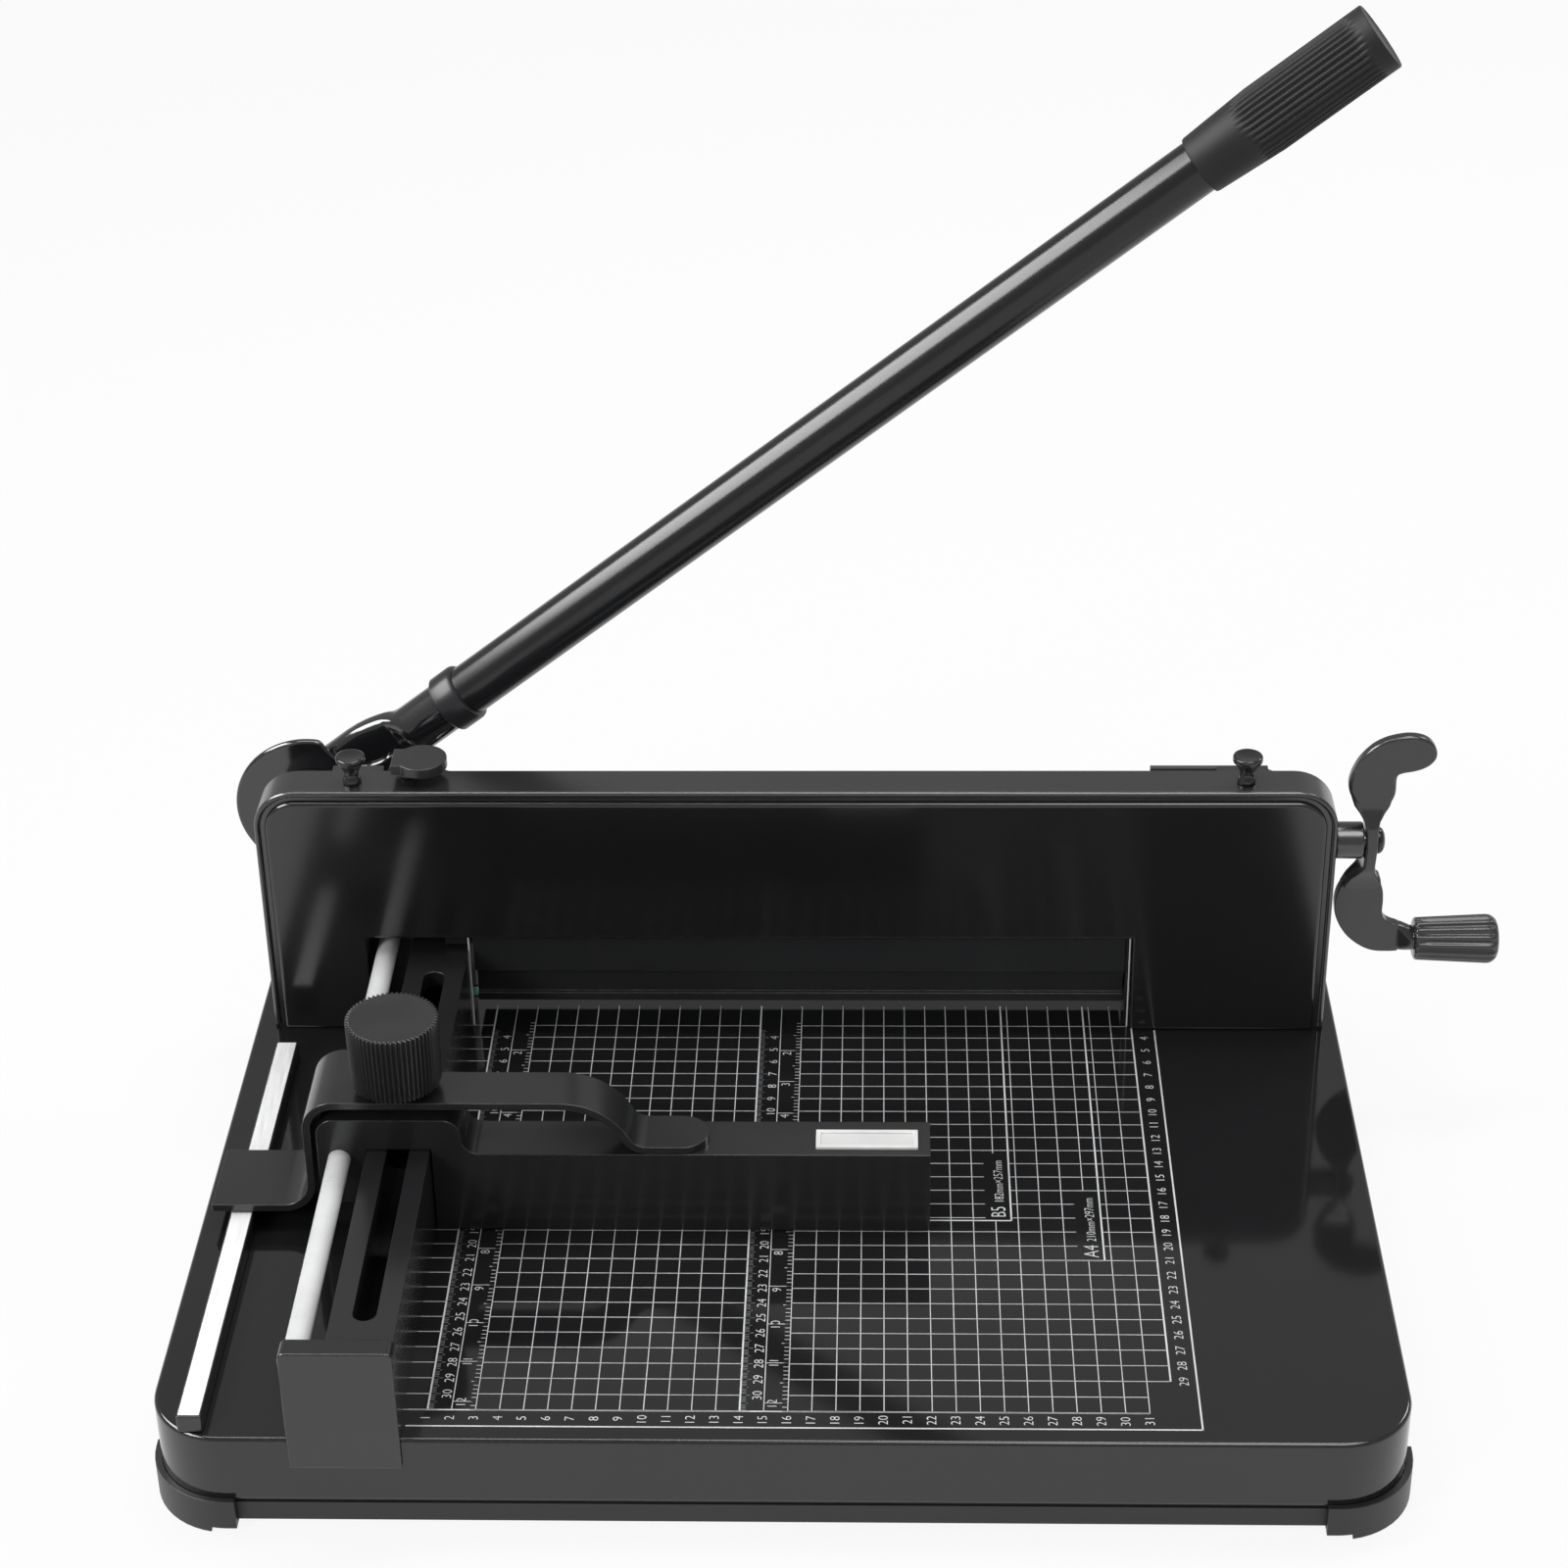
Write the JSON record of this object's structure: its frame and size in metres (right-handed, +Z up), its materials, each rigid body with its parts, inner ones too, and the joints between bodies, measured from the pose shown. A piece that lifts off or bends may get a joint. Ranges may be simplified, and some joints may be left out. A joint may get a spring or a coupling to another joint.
{
  "type": "stack paper cutter",
  "caption": "Table-top stack paper cutter with a long hand lever, a crank-driven paper clamp, a sliding back gauge on a slotted rail and a flat ruled table.",
  "frame": {"origin": "on the ground, below the middle of the base", "axes": "+X to the user's right along the cut, +Y away from the user, +Z up"},
  "size_m": [0.6113, 0.391, 0.5316],
  "materials": {
    "gloss_black": "gloss black powder coat",
    "black_casting": "gloss black powder coat on an aluminium casting",
    "satin_black": "satin dark paint",
    "black_plastic": "satin black plastic",
    "bright_steel": "plain turned steel",
    "blade_steel": "ground steel",
    "silver_strip": "plain bright strip",
    "white_rod": "satin white coat",
    "green_plastic": "smooth plastic",
    "yellow_metal": "plain",
    "white_plastic": "smooth white plastic",
    "grey_pane": "smooth pale grey sheet"
  },
  "bodies": {
    "base": {"base_tray": "black_casting", "bottom_pan": "black_plastic", "corner_feet": "black_plastic", "foot_screws": "bright_steel", "cutting_stick": "green_plastic", "scale_bar": "gloss_black", "scale_tape": "silver_strip", "slotted_rail": "black_casting", "guide_rod": "white_rod", "front_bracket": "black_casting", "frame_plate": "satin_black", "housing_wrap": "gloss_black", "front_panel": "gloss_black", "cover_tabs": "satin_black", "thumb_screws": "black_plastic", "clamp_guides": "satin_black", "wedge_strips": "satin_black", "shaft_bearings": "satin_black", "shaft_bush": "satin_black", "pivot_block": "satin_black", "lever_pivot": "bright_steel", "pivot_nut": "bright_steel", "guide_rails": "satin_black", "guide_caps": "satin_black", "cap_screws": "bright_steel"},
    "lock": {"lock_knob": "black_plastic", "lock_cam": "bright_steel"},
    "lever": {"lever_arm": "gloss_black", "lever_collar": "black_plastic", "lever_tube": "gloss_black", "lever_grip": "black_plastic", "drive_pin": "bright_steel"},
    "blade_head": {"blade_carrier": "satin_black", "blade": "blade_steel", "blade_bolts": "bright_steel"},
    "clamp": {"clamp_bar": "satin_black", "clamp_pins": "bright_steel"},
    "wedge": {"wedge_bar": "bright_steel", "screw_nut": "yellow_metal"},
    "crank": {"clamp_shaft": "bright_steel", "crank_arm": "gloss_black", "crank_screw": "black_plastic", "crank_spindle": "bright_steel"},
    "crank_handle": {"crank_grip": "black_plastic"},
    "gauge": {"gauge_bar": "black_casting", "gauge_strap": "gloss_black", "label_frame": "white_plastic", "label_pane": "grey_pane"},
    "knob": {"gauge_knob": "black_plastic", "clamp_stud": "bright_steel"}
  },
  "joints": [
    {"name": "lever_swing", "type": "hinge", "parent": "base", "child": "lever", "pos_m": [-0.2367, 0.1715, 0.1381], "axis": [0, 1, 0], "range_deg": [0, 37]},
    {"name": "blade_slide", "type": "slide", "parent": "base", "child": "blade_head", "axis": [-0.3937, 0, -0.9192], "range_m": [-0.0001, 0.0509]},
    {"name": "clamp_crank", "type": "hinge", "parent": "base", "child": "crank", "pos_m": [0.2696, 0.1145, 0.1506], "axis": [1, 0, 0], "range_deg": [-360, 1260]},
    {"name": "clamp_lift", "type": "slide", "parent": "base", "child": "clamp", "axis": [0, 0, 1], "range_m": [-0.0091, 0.0316]},
    {"name": "wedge_slide", "type": "slide", "parent": "base", "child": "wedge", "axis": [-1, 0, 0], "range_m": [-0.0091, 0.0316]},
    {"name": "crank_grip_spin", "type": "hinge", "parent": "crank", "child": "crank_handle", "pos_m": [0.2971, 0.1145, 0.0952], "axis": [1, 0, 0], "continuous": true},
    {"name": "gauge_slide", "type": "slide", "parent": "base", "child": "gauge", "axis": [0, 1, 0], "range_m": [-0.123, 0.112]},
    {"name": "gauge_knob_turn", "type": "hinge", "parent": "gauge", "child": "knob", "pos_m": [-0.1704, -0.041, 0.1183], "axis": [0, 0, 1], "range_deg": [0, 360]},
    {"name": "lock_turn", "type": "hinge", "parent": "base", "child": "lock", "pos_m": [-0.1804, 0.121, 0.182], "axis": [0, 0, 1], "range_deg": [0, 90]}
  ],
  "couplings": [
    {"joint": "blade_slide", "follows": "lever_swing", "m_per_rad": 0.078669},
    {"joint": "clamp_lift", "follows": "clamp_crank", "m_per_rad": 0.0014324},
    {"joint": "wedge_slide", "follows": "clamp_crank", "m_per_rad": 0.0014324}
  ]
}
